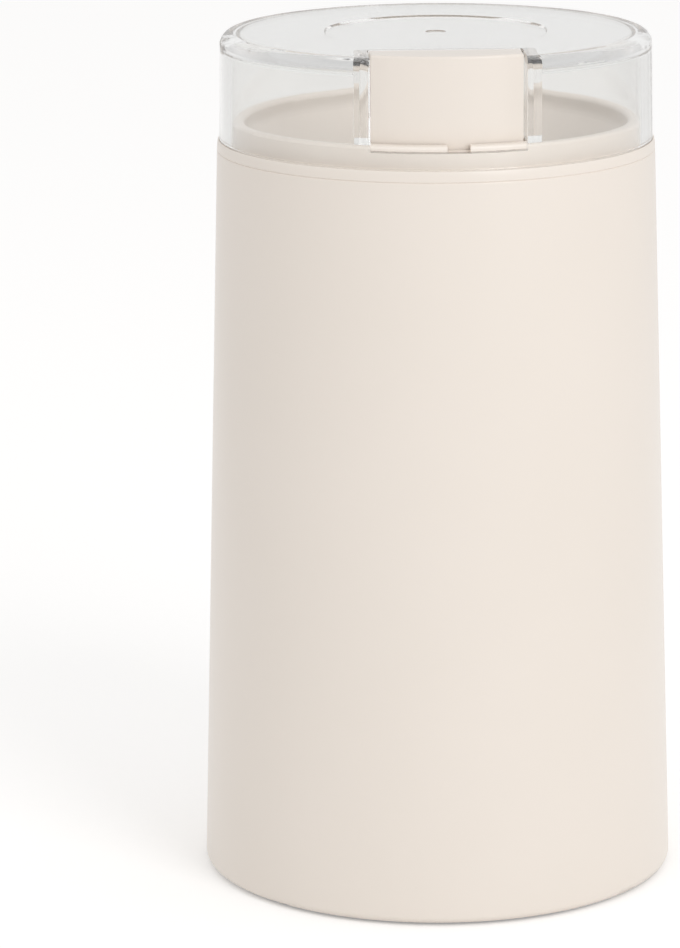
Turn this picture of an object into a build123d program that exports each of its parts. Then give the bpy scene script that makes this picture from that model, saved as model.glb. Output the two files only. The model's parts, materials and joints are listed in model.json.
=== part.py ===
from build123d import *
import math
import os

# Electric spice grinder, standing on its feet. Millimetres, +Z up.
# The origin is on the surface that it stands on, at its middle.
# The button faces -Y and the cord gland faces +Y.

# General fits
slip_gap = 0.05
screw_gap = 0.15
seat_gap = 0.1

# Outer shell: a tapered tube, open at both ends
base_radius = 47.0
mouth_radius = 43.0
shell_height = 145.3
floor_gap = 0.5
shell_wall = 2.0
base_round = 1.4
mouth_round = 0.35

# Bowl carrier: step ring, collar and funnel above, skirt and posts below
ring_gap = 0.15
ring_depth = 6.0
ring_wall = 1.95
step_height = 1.95
step_width = 0.95
rim_height = 6.4
collar_wall = 2.4
collar_round = 0.6
rim_round = 1.0
collar_depth = 3.0
funnel_depth = 14.7
funnel_run = 12.5
funnel_wall = 3.4
funnel_round = 3.0
skirt_wall = 1.8
skirt_depth = 4.0
key_width = 4.4
key_depth = 1.1
key_offset = 1.9

# Posts under the carrier that the motor hangs from
post_radius = 2.9
post_inset = 3.7
post_count = 4
post_angle = 45.0
post_hole_depth = 11.0

# Lugs of the shell that the carrier is screwed to from below
lug_count = 3
lug_angle = 90.0
lug_radius = 3.0
lug_thickness = 3.0
lug_drop = 18.3
lug_web = 3.0
lug_inset = 3.4
lug_hole_depth = 9.0

# Lid
lid_height = 23.0
lid_step = 0.4
lid_narrowing = 0.4
lid_gap = 0.35
lid_plate = 1.95
lid_round = 2.4
lid_inner_round = 1.8
lid_sole_gap = 0.25
dish_radius = 21.5
dish_depth = 0.3
gate_radius = 2.0
gate_depth = 0.2
pocket_gap = 0.3
pocket_wall = 2.5
pocket_round = 1.6
pocket_clear = 0.2
sill_drop = 0.95

# Button and what it pushes
button_width = 29.0
button_depth = 9.5
button_gap = 0.4
button_wall = 1.8
button_roof = 2.0
button_edge = 0.5
button_corner = 0.4
button_skirt = 9.2
button_travel = 2.0
well_wall = 1.6
well_floor = 1.8
well_floor_drop = 12.1
tab_reach = 0.9
tab_width = 2.2
tab_height = 1.5
tab_rise = 0.3
tab_inset = 3.6
tab_gap = 0.3
rod_radius = 1.4
rod_inset = 1.9
rod_socket = 5.0
rod_boss_wall = 1.2

# Return springs of the button
spring_spread = 7.0
spring_inset = 5.65
spring_radius = 1.95
spring_wire = 0.5
spring_turns = 5
spring_length = 15.4
spring_seat_radius = 2.8
spring_pin_radius = 1.3
spring_pin_length = 2.2

# Grinding bowl and its seals
bowl_depth = 36.2
bowl_wall = 0.6
bowl_flange = 2.8
bowl_round = 7.0
bowl_mouth_round = 0.5
bowl_hole = 5.0
post_clear = 0.6
flange_clear = 0.4
lip_step = 0.4
seal_thickness = 0.8
shaft_seal_radius = 8.0
shaft_seal_flange = 0.8
shaft_seal_rise = 1.6
shaft_seal_lip = 1.2

# Shaft, blade and nut
shaft_radius = 3.0
shaft_tip_radius = 2.5
shaft_shoulder = 4.5
shaft_end = 1.5
blade_tip_gap = 4.0
blade_width = 12.0
blade_tip_width = 8.0
blade_thickness = 1.6
blade_flat = 9.0
blade_rise = 6.0
blade_bevel = 0.9
nut_flats = 9.0
nut_height = 4.0
nut_dome = 2.6
nut_chamfer = 0.6
nut_shoulder = 0.4

# Upper end of the motor: bearing, bracket, dampers
bearing_radius = 9.5
bearing_height = 6.0
bearing_race = 2.2
bearing_groove = 0.5
bearing_inset = 0.5
neck_wall = 2.5
neck_roof = 2.0
neck_bore = 4.0
spigot_height = 3.1
bracket_thickness = 3.0
bracket_radius = 24.0
bracket_arm = 8.0
bracket_column = 13.0
bracket_slot = 5.0
bracket_slot_length = 14.0
bracket_slot_share = 0.75
damper_thickness = 1.5
damper_radius = 3.8

# Stator, coils and rotor
core_width = 54.0
core_breadth = 46.0
core_corner = 9.0
core_yoke = 7.7
air_gap = 0.5
pole_half = 8.0
window_margin = 0.5
window_yoke = 4.5
slot_opening = 2.0
coil_gap = 0.2
coil_rise = 5.5
coil_round = 2.2
rotor_slots = 12
rotor_slot_width = 2.0
rotor_slot_depth = 5.0
winding_inset = 1.6
winding_height = 6.0
winding_round = 2.5
commutator_radius = 9.0
commutator_height = 11.0
commutator_bars = 12
commutator_slit = 0.6
commutator_slit_depth = 0.8
riser_height = 1.2
riser_width = 1.0

# Lower end of the motor: bridge, bearing, brushes, fan
bridge_column = 20.5
bridge_thickness = 3.5
bridge_half_width = 8.0
bridge_arm = 26.0
column_radius = 3.3
column_inset = 3.7
hub_wall = 2.5
hub_rise = 1.5
hub_lip = 1.0
lower_bearing_radius = 8.0
lower_bearing_height = 5.0
washer_radius = 5.0
washer_thickness = 0.6
holder_width = 9.0
holder_height = 13.0
holder_gap = 0.3
holder_end = 25.0
holder_wall = 1.4
brush_width = 5.0
brush_height = 6.0
brush_length = 8.4
brush_rise = 5.2
brush_gap = 0.1
brush_spring_radius = 1.8
brush_spring_wire = 0.5
brush_spring_turns = 4
fan_radius = 22.0
fan_hub = 6.5
fan_height = 8.0
fan_disc = 1.5
fan_blades = 9
fan_blade_thickness = 1.2
fan_blade_angle = 25.0
fan_drop = 5.5

# Switch
switch_width = 19.8
switch_thickness = 6.4
switch_height = 10.2
switch_round = 0.6
plunger_radius = 1.2
plunger_stand = 3.4
plunger_depth = 3.2
plunger_gap = 0.2
terminal_width = 4.0
terminal_length = 4.2
terminal_thickness = 0.8
terminal_pitch = 6.5
terminal_root = 1.2
switch_hole_spread = 4.75
switch_hole_rise = 2.9
bracket_tab = 1.5
bracket_tab_below = 2.2
bracket_tab_inset = 0.5
switch_rise = 1.4

# Leads inside the housing
lead_radius = 0.9
tail_radius = 0.6
lead_drop = 6.5
lead_bend = 3.0
lead_side = 6.5
lead_rise = 2.3
tail_offset = 3.0

# Base plate, feet, gland
foot_height = 2.5
foot_radius = 5.2
foot_taper = 0.6
foot_stem = 1.9
foot_bulb = 0.5
foot_bulb_height = 1.3
foot_inset = 10.5
foot_count = 4
foot_angle = 45.0
base_thickness = 2.2
shaft_clear = 6.3
base_gap = 0.2
base_lip = 1.6
base_lip_height = 2.3
vent_count = 18
vent_inner = 11.0
vent_clear = 5.3
vent_width = 2.0
boss_count = 3
boss_angle = -90.0
boss_inset = 5.4
boss_radius = 3.2
boss_height = 15.0
boss_web = 2.0
head_recess = 0.7
base_pad_wall = 1.4
boss_hole_depth = 10.0
gland_height = 17.0
gland_bore = 3.2
gland_neck = 4.9
gland_flange = 6.3
gland_flange_thickness = 1.2
gland_inset = 0.05
gland_length = 9.0
gland_mouth = 4.0
gland_tail = 9.1
gland_tail_radius = 4.6
gland_collar = 5.7
gland_boss_wall = 2.4

# Screws
screw_radius = 1.3
screw_head_radius = 2.7
screw_head_height = 1.8
screw_cross = 0.8
screw_cross_depth = 0.9
carrier_screw_length = 11.0
bracket_screw_length = 11.5
base_screw_length = 10.5
motor_screw_radius = 1.9
motor_screw_head = 3.2
motor_screw_cover = 0.5
motor_screw_end_gap = 1.0
switch_screw_radius = 1.1
switch_screw_head = 2.0

# Heights of what hangs from the rim, from the top down
rim_z = shell_height + rim_height
step_z = shell_height + step_height
ring_bottom = shell_height - ring_depth
lip_bottom = rim_z - funnel_depth
flange_top = lip_bottom - seal_thickness
bowl_floor = flange_top - bowl_depth
bowl_under = bowl_floor - bowl_wall
spigot_top = bowl_under - shaft_seal_flange
neck_top = spigot_top - spigot_height
bearing_top = neck_top - neck_roof
bearing_bottom = bearing_top - bearing_height
bracket_bottom = bearing_bottom - bearing_inset
bracket_top = bracket_bottom + bracket_thickness
post_bottom = bracket_top + damper_thickness
core_top = bracket_bottom - bracket_column
shoulder_z = bowl_floor + shaft_shoulder
nut_bottom = shoulder_z + blade_thickness
lug_top = shell_height - lug_drop
well_floor_z = rim_z - well_floor_drop
spring_top = well_floor_z + spring_length
button_bottom = rim_z - button_skirt
lid_top = shell_height + lid_height

# Heights of what stands over the base plate, from the bottom up
plate_top = foot_height + base_thickness
boss_bottom = plate_top + base_lip_height
shaft_bottom = plate_top + shaft_clear
fan_bottom = shaft_bottom + shaft_end
fan_top = fan_bottom + fan_height
bridge_bottom = fan_top + fan_drop
bridge_top = bridge_bottom + bridge_thickness
hub_top = bridge_top + hub_rise
lower_bearing_bottom = hub_top - lower_bearing_height
hub_bottom = lower_bearing_bottom - hub_lip
core_bottom = bridge_top + bridge_column
core_length = core_top - core_bottom

# Radii, worked out from the outside in
ring_radius = mouth_radius - shell_wall - ring_gap
collar_radius = ring_radius - step_width
collar_inner = collar_radius - collar_wall
narrow_end = min(base_radius, mouth_radius) - shell_wall
post_circle = narrow_end - post_inset
lug_circle = mouth_radius - shell_wall - lug_inset
flange_radius = post_circle - post_radius - post_clear
bowl_radius = flange_radius - bowl_flange
skirt_inner = flange_radius + flange_clear
lip_radius = bowl_radius + lip_step
button_front = collar_inner - button_gap
button_back = button_front - button_depth
rod_y = -(collar_inner - rod_inset)
spring_y = -(collar_inner - spring_inset)
boss_circle = base_radius - shell_wall - boss_inset
foot_circle = base_radius - shell_wall - foot_inset
vent_outer = foot_circle - foot_radius - vent_clear
bore_radius = core_breadth / 2 - core_yoke
column_circle = core_breadth / 2 - column_inset
window_near = bore_radius + window_margin
window_far = core_width / 2 - window_yoke
winding_radius = bore_radius - air_gap - winding_inset


def polar(radius, angle):
    turn = math.radians(angle)
    return radius * math.cos(turn), radius * math.sin(turn)


def circle_of(count, start, radius):
    return [polar(radius, start + 360.0 * i / count) for i in range(count)]


def rod(radius, low, high, x=0.0, y=0.0):
    return Pos(x, y, (low + high) / 2) * Cylinder(radius, high - low)


def tube(outer, inner, low, high, x=0.0, y=0.0):
    return rod(outer, low, high, x, y) - rod(inner, low, high, x, y)


def block(x0, x1, y0, y1, z0, z1):
    middle = Pos((x0 + x1) / 2, (y0 + y1) / 2, (z0 + z1) / 2)
    return middle * Box(x1 - x0, y1 - y0, z1 - z0)


def turned(points, rounds=()):
    # A solid of revolution about Z from (radius, height) points, with rounded corners.
    face = make_face(Polyline(*points, close=True))
    for corner, radius in rounds:
        spot = face.vertices().sort_by_distance((corner[0], corner[1], 0))[0]
        face = fillet(spot, radius)
    return revolve(Plane.XZ * face, Axis.Z)


def joined(solids):
    return Compound(children=list(solids))


def shell_radius(z):
    taper = (base_radius - mouth_radius) / (shell_height - floor_gap)
    return base_radius - taper * (z - floor_gap)


def screw(radius, length, head_radius, head_height, cross=screw_cross):
    # Head below z = 0 and shank above it, with a cross recess in the head.
    body = rod(head_radius, -head_height, 0) + rod(radius, 0, length)
    body = chamfer(body.edges().sort_by(Axis.Z)[0], head_height / 3)
    half = head_radius * 0.6
    depth = -head_height + screw_cross_depth
    bars = block(-half, half, -cross / 2, cross / 2, -head_height - 1, depth)
    bars += block(-cross / 2, cross / 2, -half, half, -head_height - 1, depth)
    return body - bars


# ---- Housing ----

def outer_shell():
    low = floor_gap
    outside = shell_radius(low)
    points = [
        (outside - shell_wall, low),
        (outside, low),
        (mouth_radius, shell_height),
        (mouth_radius - shell_wall, shell_height),
    ]
    body = turned(points, [(points[1], base_round), (points[2], mouth_round)])
    # Bosses and lugs stop half way through the wall
    half = shell_wall / 2
    core = turned([
        (0, low),
        (outside - half, low),
        (mouth_radius - half, shell_height),
        (0, shell_height),
    ])
    inner_parts = []
    for i in range(boss_count):
        angle = boss_angle + 360.0 * i / boss_count
        top = boss_bottom + boss_height
        boss = rod(boss_radius, boss_bottom, top, boss_circle, 0)
        web = block(boss_circle, base_radius, -boss_web / 2, boss_web / 2, boss_bottom, top)
        hole = rod(screw_radius + slip_gap, boss_bottom - 1, boss_bottom + boss_hole_depth, boss_circle)
        inner_parts.append(Rot(0, 0, angle) * (boss + web - hole))
    for i in range(lug_count):
        angle = lug_angle + 360.0 * i / lug_count
        low = lug_top - lug_thickness
        lug = rod(lug_radius, low, lug_top, lug_circle, 0)
        lug += block(lug_circle, base_radius, -lug_web, lug_web, low, lug_top)
        hole = rod(screw_radius + screw_gap, low - 1, lug_top + 1, lug_circle)
        inner_parts.append(Rot(0, 0, angle) * (lug - hole))
    for piece in inner_parts:
        body += piece & core
    return gland_seat(body, core)


def gland_face():
    # The gland's outer face lies a little inside the wall's outline
    edge = math.sqrt(shell_radius(gland_height) ** 2 - gland_flange ** 2)
    return edge - gland_inset


def gland_seat(body, core):
    face = gland_face()
    inner_end = face - gland_length + gland_flange_thickness
    radius = gland_flange + gland_boss_wall
    along = Pos(0, 0, gland_height) * Rot(-90, 0, 0)
    pad = along * rod(radius, inner_end, base_radius)
    body += pad & core
    body -= along * rod(gland_neck + seat_gap, inner_end - 1, base_radius + 1)
    return body - along * rod(gland_flange + seat_gap, face - gland_flange_thickness, base_radius + 1)


def cord_gland():
    # A rubber bush: outer flange in the wall's recess, neck, and inner collar behind the pad.
    # Its mouth widens outwards so that the cord isn't kinked, and its tail grips the cord inside.
    face = gland_face()
    neck_end = face - gland_length + gland_flange_thickness
    collar_end = neck_end - gland_flange_thickness
    tail_end = neck_end - gland_tail
    return Pos(0, 0, gland_height) * Rot(-90, 0, 0) * turned([
        (gland_bore, tail_end),
        (gland_tail_radius, tail_end),
        (gland_tail_radius, collar_end),
        (gland_collar, collar_end),
        (gland_collar, neck_end - seat_gap),
        (gland_neck, neck_end - seat_gap),
        (gland_neck, face - gland_flange_thickness),
        (gland_flange, face - gland_flange_thickness),
        (gland_flange, face),
        (gland_mouth, face),
        (gland_bore, neck_end - seat_gap),
    ])


def base_plate():
    radius = shell_radius(plate_top) - shell_wall - base_gap
    plate = rod(radius, foot_height, plate_top)
    plate += tube(radius, radius - base_lip, plate_top, boss_bottom)
    pad_radius = boss_radius + base_pad_wall
    for x, y in circle_of(boss_count, boss_angle, boss_circle):
        plate += rod(pad_radius, plate_top, boss_bottom, x, y) & rod(radius, plate_top, boss_bottom)
    for x, y in circle_of(boss_count, boss_angle, boss_circle):
        plate -= rod(screw_radius + screw_gap, 0, boss_bottom + 1, x, y)
        head_seat = foot_height + screw_head_height + head_recess
        plate -= rod(screw_head_radius + screw_gap, 0, head_seat, x, y)
    for x, y in circle_of(foot_count, foot_angle, foot_circle):
        plate -= rod(foot_stem + seat_gap, 0, plate_top + 1, x, y)
    middle = (vent_inner + vent_outer) / 2
    slot = SlotOverall(vent_outer - vent_inner, vent_width)
    vent = extrude(Pos(middle, 0, foot_height - 1) * slot, base_thickness + 2)
    for i in range(vent_count):
        plate -= Rot(0, 0, 360.0 * (i + 0.5) / vent_count) * vent
    return chamfer(plate.edges().group_by(Axis.Z)[0].sort_by(SortBy.LENGTH)[-1], 0.4)


def feet():
    foot = turned([
        (0, 0),
        (foot_radius - foot_taper, 0),
        (foot_radius, foot_height),
        (foot_stem, foot_height),
        (foot_stem, plate_top + seat_gap),
        (foot_stem + foot_bulb, plate_top + seat_gap),
        (foot_stem - foot_bulb, plate_top + foot_bulb_height),
        (0, plate_top + foot_bulb_height),
    ])
    return joined(Pos(x, y, 0) * foot for x, y in circle_of(foot_count, foot_angle, foot_circle))


def base_screws():
    seat = foot_height + screw_head_height + head_recess
    piece = screw(screw_radius, base_screw_length, screw_head_radius, screw_head_height)
    return joined(Pos(x, y, seat) * piece for x, y in circle_of(boss_count, boss_angle, boss_circle))


def carrier_screws():
    seat = lug_top - lug_thickness
    piece = screw(screw_radius, carrier_screw_length, screw_head_radius, screw_head_height)
    return joined(Pos(x, y, seat) * piece for x, y in circle_of(lug_count, lug_angle, lug_circle))


# ---- Bowl carrier ----

def carrier_section():
    funnel_end = lip_bottom + funnel_depth - funnel_run
    hollow = skirt_inner + skirt_wall
    inside = ring_radius - ring_wall
    slope = (collar_inner - lip_radius) / (funnel_run - collar_depth)
    low_cut = funnel_end + (hollow - funnel_wall - lip_radius) / slope
    high_cut = funnel_end + (inside - funnel_wall - lip_radius) / slope
    corners = [
        (ring_radius, ring_bottom),
        (ring_radius, step_z),
        (collar_radius, step_z),
        (collar_radius, rim_z),
        (collar_inner, rim_z),
        (collar_inner, rim_z - collar_depth),
        (lip_radius, funnel_end),
        (lip_radius, lip_bottom),
        (skirt_inner, lip_bottom),
        (skirt_inner, lip_bottom - skirt_depth),
        (hollow, lip_bottom - skirt_depth),
        (hollow, low_cut),
        (inside, high_cut),
        (inside, ring_bottom),
    ]
    rounds = [(corners[3], collar_round), (corners[4], rim_round), (corners[1], 0.3), (corners[5], funnel_round)]
    return turned(corners, rounds)


def bowl_carrier():
    body = carrier_section()
    join_z = ring_bottom + ring_wall
    for x, y in circle_of(post_count, post_angle, post_circle):
        body += rod(post_radius, post_bottom, join_z, x, y)
    for x, y in circle_of(lug_count, lug_angle, lug_circle):
        body += rod(lug_radius, lug_top, join_z, x, y)
    for x, y in circle_of(post_count, post_angle, post_circle):
        body -= rod(screw_radius + slip_gap, post_bottom - 1, post_bottom + post_hole_depth, x, y)
    for x, y in circle_of(lug_count, lug_angle, lug_circle):
        body -= rod(screw_radius + slip_gap, lug_top - 1, lug_top + lug_hole_depth, x, y)
    return button_well(body)


def button_well(body):
    # The well stands behind the collar's front wall and hangs over the bowl's mouth
    half = button_width / 2 + button_gap
    back = button_back - button_gap
    low = well_floor_z - well_floor
    outer = block(-half - well_wall, half + well_wall, -ring_radius, -back + well_wall, low, rim_z)
    edges = outer.edges().filter_by(Axis.Z).sort_by(Axis.Y)[-2:]
    body += fillet(edges, well_wall) & collar_inside(low)
    hollow = block(-half, half, -ring_radius, -back, well_floor_z, rim_z + 1)
    body -= hollow & rod(collar_inner, well_floor_z, rim_z + 1)
    body -= rod(rod_radius + seat_gap, lip_bottom - skirt_depth - 1, well_floor_z + 1, 0, rod_y)
    body -= rod(rod_radius + 3 * screw_gap, lip_bottom - skirt_depth - 1, low, 0, rod_y)
    window_top = button_bottom + tab_rise + tab_height + tab_gap
    window_low = button_bottom + tab_rise - button_travel - tab_gap
    reach = button_width / 2 + tab_reach + tab_gap
    front = -button_front + tab_inset - tab_gap
    body -= block(-reach, reach, front, front + tab_width + 2 * tab_gap, window_low, window_top)
    for side in (-1, 1):
        pin = rod(spring_pin_radius, well_floor_z, well_floor_z + spring_pin_length, side * spring_spread, spring_y)
        body += pin
    key = block(key_offset - key_width / 2, key_offset + key_width / 2, -ring_radius, -back - button_depth,
                rim_z - key_depth, rim_z + 1)
    return body - key


def collar_inside(low):
    # All that lies inside the ring's wall, short of the collar's rounded rim
    return rod(ring_radius - ring_wall + ring_gap, low, rim_z)


# ---- Lid ----

def lid_inner(z):
    bottom = collar_radius + lid_gap
    return bottom - lid_narrowing * (z - shell_height) / lid_height


def lid_outer(z):
    return mouth_radius - lid_step - lid_narrowing * (z - shell_height) / lid_height


def lid():
    ceiling = lid_top - lid_plate
    rebate = ring_radius + lid_gap
    rebate_top = step_z + lid_sole_gap
    corners = [
        (lid_outer(shell_height), shell_height),
        (lid_outer(lid_top), lid_top),
        (dish_radius + dish_depth, lid_top),
        (dish_radius, lid_top - dish_depth),
        (gate_radius, lid_top - dish_depth),
        (gate_radius, lid_top - dish_depth - gate_depth),
        (0, lid_top - dish_depth - gate_depth),
        (0, ceiling),
        (lid_inner(ceiling), ceiling),
        (lid_inner(rebate_top), rebate_top),
        (rebate, rebate_top),
        (rebate, shell_height),
    ]
    body = turned(corners, [(corners[1], lid_round), (corners[8], lid_inner_round)])
    half = button_width / 2 + pocket_gap
    back = button_back - pocket_gap
    low = rim_z + pocket_clear
    top = lid_top - lid_plate / 2
    walls = block(-half - pocket_wall, half + pocket_wall, -mouth_radius, -back + pocket_wall, low, top)
    walls = fillet(walls.edges().filter_by(Axis.Z).sort_by(Axis.Y)[-2:], pocket_round)
    middle = (lid_inner(top) + lid_outer(top)) / 2
    body += walls & rod(middle, low, top)
    sill = rim_z - sill_drop
    notch = block(-half, half, -mouth_radius - 1, -back, sill, lid_top + 1)
    notch = fillet(notch.edges().filter_by(Axis.Z).sort_by(Axis.Y)[-2:], pocket_round / 2)
    return body - notch


# ---- Button ----

def button_cap():
    half = button_width / 2
    solid = block(-half, half, -mouth_radius, -button_back, button_bottom, lid_top)
    solid &= rod(button_front, button_bottom, lid_top)
    solid = fillet(solid.edges().filter_by(Axis.Z), button_corner)
    solid = fillet(solid.edges().group_by(Axis.Z)[-1], button_edge)
    inside = block(-half + button_wall, half - button_wall, -mouth_radius, -button_back - button_wall,
                   button_bottom - 1, lid_top - button_roof)
    inside &= rod(button_front - button_wall, button_bottom - 1, lid_top)
    cap = solid - inside
    reach = half + tab_reach
    front = -button_front + tab_inset
    low = button_bottom + tab_rise
    for side in (-1, 1):
        x0, x1 = sorted((side * (half - button_wall / 2), side * reach))
        cap += block(x0, x1, front, front + tab_width, low, low + tab_height)
        x = side * spring_spread
        roof = lid_top - button_roof / 2
        cap += rod(spring_seat_radius, spring_top, roof, x, spring_y) & solid
        cap += rod(spring_pin_radius, spring_top - spring_pin_length, roof, x, spring_y)
    boss = rod(rod_radius + rod_boss_wall, button_bottom + tab_rise, lid_top - button_roof / 2, 0, rod_y)
    cap += boss & rod(button_front - button_wall / 2, button_bottom, lid_top)
    return cap - rod(rod_radius + slip_gap, button_bottom - 1, button_bottom + rod_socket + 2, 0, rod_y)


def rod_bottom():
    return switch_top() + plunger_stand + plunger_gap


def push_rod():
    body = rod(rod_radius, rod_bottom(), button_bottom + rod_socket, 0, rod_y)
    return chamfer(body.edges().sort_by(Axis.Z)[0], rod_radius / 4)


def coil_spring(radius, wire, length, turns):
    height = length - wire - 2 * slip_gap
    path = Helix(height / turns, height, radius)
    start = path @ 0
    section = Plane(origin=start, z_dir=path % 0) * RegularPolygon(wire / 2, 6)
    return Pos(0, 0, wire / 2 + slip_gap) * sweep(section, path, is_frenet=True)


def button_spring():
    piece = coil_spring(spring_radius, spring_wire, spring_length, spring_turns)
    return joined(Pos(side * spring_spread, spring_y, well_floor_z) * piece for side in (-1, 1))


# ---- Bowl, seals, shaft and blade ----

def grinding_bowl():
    outer = bowl_radius + bowl_wall
    corners = [
        (bowl_hole, bowl_under),
        (outer, bowl_under),
        (outer, flange_top - bowl_wall),
        (flange_radius, flange_top - bowl_wall),
        (flange_radius, flange_top),
        (bowl_radius, flange_top),
        (bowl_radius, bowl_floor),
        (bowl_hole, bowl_floor),
    ]
    rounds = [(corners[1], bowl_round + bowl_wall), (corners[6], bowl_round), (corners[5], bowl_mouth_round)]
    return turned(corners, rounds)


def bowl_seal():
    return tube(flange_radius, lip_radius, flange_top, lip_bottom)


def shaft_seal():
    top = bowl_floor + shaft_seal_rise
    neck = bowl_hole - seat_gap
    return turned([
        (shaft_radius + slip_gap, spigot_top),
        (shaft_seal_radius, spigot_top),
        (shaft_seal_radius, bowl_under),
        (neck, bowl_under),
        (neck, top),
        (shaft_radius + shaft_seal_lip, top + shaft_seal_lip),
        (shaft_radius + slip_gap, top + shaft_seal_lip),
    ])


def motor_shaft():
    tip_end = nut_bottom + nut_height - slip_gap
    body = rod(shaft_radius, shaft_bottom, shoulder_z) + rod(shaft_tip_radius, shoulder_z, tip_end)
    return chamfer(body.edges().sort_by(Axis.Z)[0], 0.4)


def blade():
    # A flat strip whose ends bend up on one side and down on the other, with bevelled leading edges
    tip = bowl_radius - blade_tip_gap
    fall = blade_rise / 2
    side = [
        (-tip, -fall),
        (-blade_flat, 0),
        (blade_flat, 0),
        (tip, blade_rise),
        (tip, blade_rise + blade_thickness),
        (blade_flat, blade_thickness),
        (-blade_flat, blade_thickness),
        (-tip, blade_thickness - fall),
    ]
    strip = extrude(Plane.XZ * make_face(Polyline(*side, close=True)), blade_width / 2, both=True)
    half, narrow = blade_width / 2, blade_tip_width / 2
    plan = make_face(Polyline(
        (-tip, -half),
        (-tip + narrow, half - narrow / 2),
        (-blade_flat, half),
        (blade_flat, half),
        (tip, half),
        (tip - narrow, -half + narrow / 2),
        (blade_flat, -half),
        (-blade_flat, -half),
        close=True,
    ))
    strip &= extrude(Pos(0, 0, -blade_width) * plan, 2 * blade_width)
    strip &= rod(tip, -blade_width, blade_width)
    # Ground edges: one wing is bevelled on its front, the other on its back
    reach = tip - blade_flat
    length = math.hypot(reach, blade_rise) + 2
    up = math.degrees(math.atan2(blade_rise, reach))
    wedge = Plane.YZ * make_face(Polyline(
        (half - 2 * blade_bevel, blade_thickness + 0.01),
        (half + 1, blade_thickness + 0.01),
        (half + 1, blade_thickness - blade_bevel * 1.3),
        close=True,
    ))
    strip -= Pos(blade_flat, 0, 0) * Rot(0, -up, 0) * extrude(wedge, length)
    down = math.degrees(math.atan2(fall, reach))
    strip -= Rot(0, 0, 180) * Pos(blade_flat, 0, 0) * Rot(0, down, 0) * extrude(wedge, length)
    strip -= rod(shaft_tip_radius + slip_gap, -1, blade_thickness + 1)
    return Pos(0, 0, shoulder_z) * strip


def blade_nut():
    across = nut_flats / math.cos(math.pi / 6)
    body = extrude(RegularPolygon(across / 2, 6), nut_height)
    ball = (nut_flats ** 2 / 4 + nut_dome ** 2) / (2 * nut_dome)
    dome = Pos(0, 0, nut_height + nut_dome - ball) * Sphere(ball)
    body += dome & rod(nut_flats / 2, nut_height / 2, nut_height + nut_dome)
    body &= turned([
        (0, 0),
        (across / 2, 0),
        (across / 2, nut_height - nut_chamfer),
        (nut_flats / 2 - nut_shoulder, nut_height),
        (nut_flats / 2 - nut_shoulder, nut_height + nut_dome + 1),
        (0, nut_height + nut_dome + 1),
    ])
    body -= rod(shaft_tip_radius + slip_gap, -1, nut_height)
    return Pos(0, 0, nut_bottom) * body


# ---- Motor ----

def ball_bearing(radius, height, bottom):
    # Two races with a shallow groove for the shield between them
    body = tube(radius, shaft_radius + slip_gap, bottom, bottom + height)
    inner, outer = shaft_radius + bearing_race, radius - bearing_race
    for low in (bottom - 1, bottom + height - bearing_groove):
        body -= tube(outer, inner, low, low + 1 + bearing_groove)
    return body


def upper_bearing():
    return ball_bearing(bearing_radius, bearing_height, bearing_bottom)


def lower_bearing():
    return ball_bearing(lower_bearing_radius, lower_bearing_height, lower_bearing_bottom)


def thrust_washers():
    low = hub_top + slip_gap
    high = bearing_bottom - slip_gap
    inner = shaft_radius + slip_gap
    return joined([
        tube(washer_radius, inner, low, low + washer_thickness),
        tube(washer_radius, inner, high - washer_thickness, high),
    ])


def motor_bracket():
    low, top = bracket_bottom, bracket_top
    body = rod(bracket_radius, low, top)
    for i in range(post_count):
        arm = block(0, post_circle, -bracket_arm / 2, bracket_arm / 2, low, top)
        arm += rod(bracket_arm / 2, low, top, post_circle, 0)
        body += Rot(0, 0, post_angle + 360.0 * i / post_count) * arm
    body = fillet_inner(body)
    body += rod(bearing_radius + neck_wall, low, neck_top)
    body += rod(shaft_seal_radius, neck_top, spigot_top)
    tab = switch_back_y()
    reach = switch_thickness
    half = switch_width / 2 - bracket_tab_inset
    body += block(-half, half, tab, -bracket_radius / 2, low, top)
    body += block(-half, half, tab, tab + bracket_tab, switch_bottom() - bracket_tab_below, top)
    for y in (-column_circle, column_circle):
        body += rod(column_radius, core_top, low, 0, y)
        body -= rod(motor_screw_radius + slip_gap, core_top - 1, top - motor_screw_cover, 0, y)
    body -= rod(bearing_radius, low - 1, bearing_top)
    body -= rod(neck_bore, low, spigot_top + 1)
    for x, y in circle_of(post_count, post_angle, post_circle):
        body -= rod(screw_radius + screw_gap, low - 1, top + 1, x, y)
    for x in (-switch_hole_spread, switch_hole_spread):
        z = switch_bottom() + switch_hole_rise
        hole = Pos(x, tab, z) * Rot(90, 0, 0) * rod(switch_screw_radius + slip_gap, -reach, reach)
        body -= hole
    for side in (0, 180):
        outline = SlotOverall(bracket_slot_length, bracket_slot, rotation=90)
        slot = extrude(Pos(bracket_radius * bracket_slot_share, 0, low - 1) * outline, bracket_thickness + 2)
        body -= Rot(0, 0, side) * slot
    return body


def fillet_inner(body):
    # Rounds the corners between the bracket's disc and its arms
    reach = bracket_radius + 2
    corners = [
        edge for edge in body.edges().filter_by(Axis.Z)
        if math.hypot(edge.center().X, edge.center().Y) < reach
    ]
    return fillet(corners, bracket_arm / 3) if corners else body


def bracket_dampers():
    ring = tube(damper_radius, screw_radius + screw_gap, bracket_top, post_bottom)
    return joined(Pos(x, y, 0) * ring for x, y in circle_of(post_count, post_angle, post_circle))


def bracket_screws():
    piece = screw(screw_radius, bracket_screw_length, screw_head_radius, screw_head_height)
    return joined(
        Pos(x, y, bracket_bottom) * piece
        for x, y in circle_of(post_count, post_angle, post_circle)
    )


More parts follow.
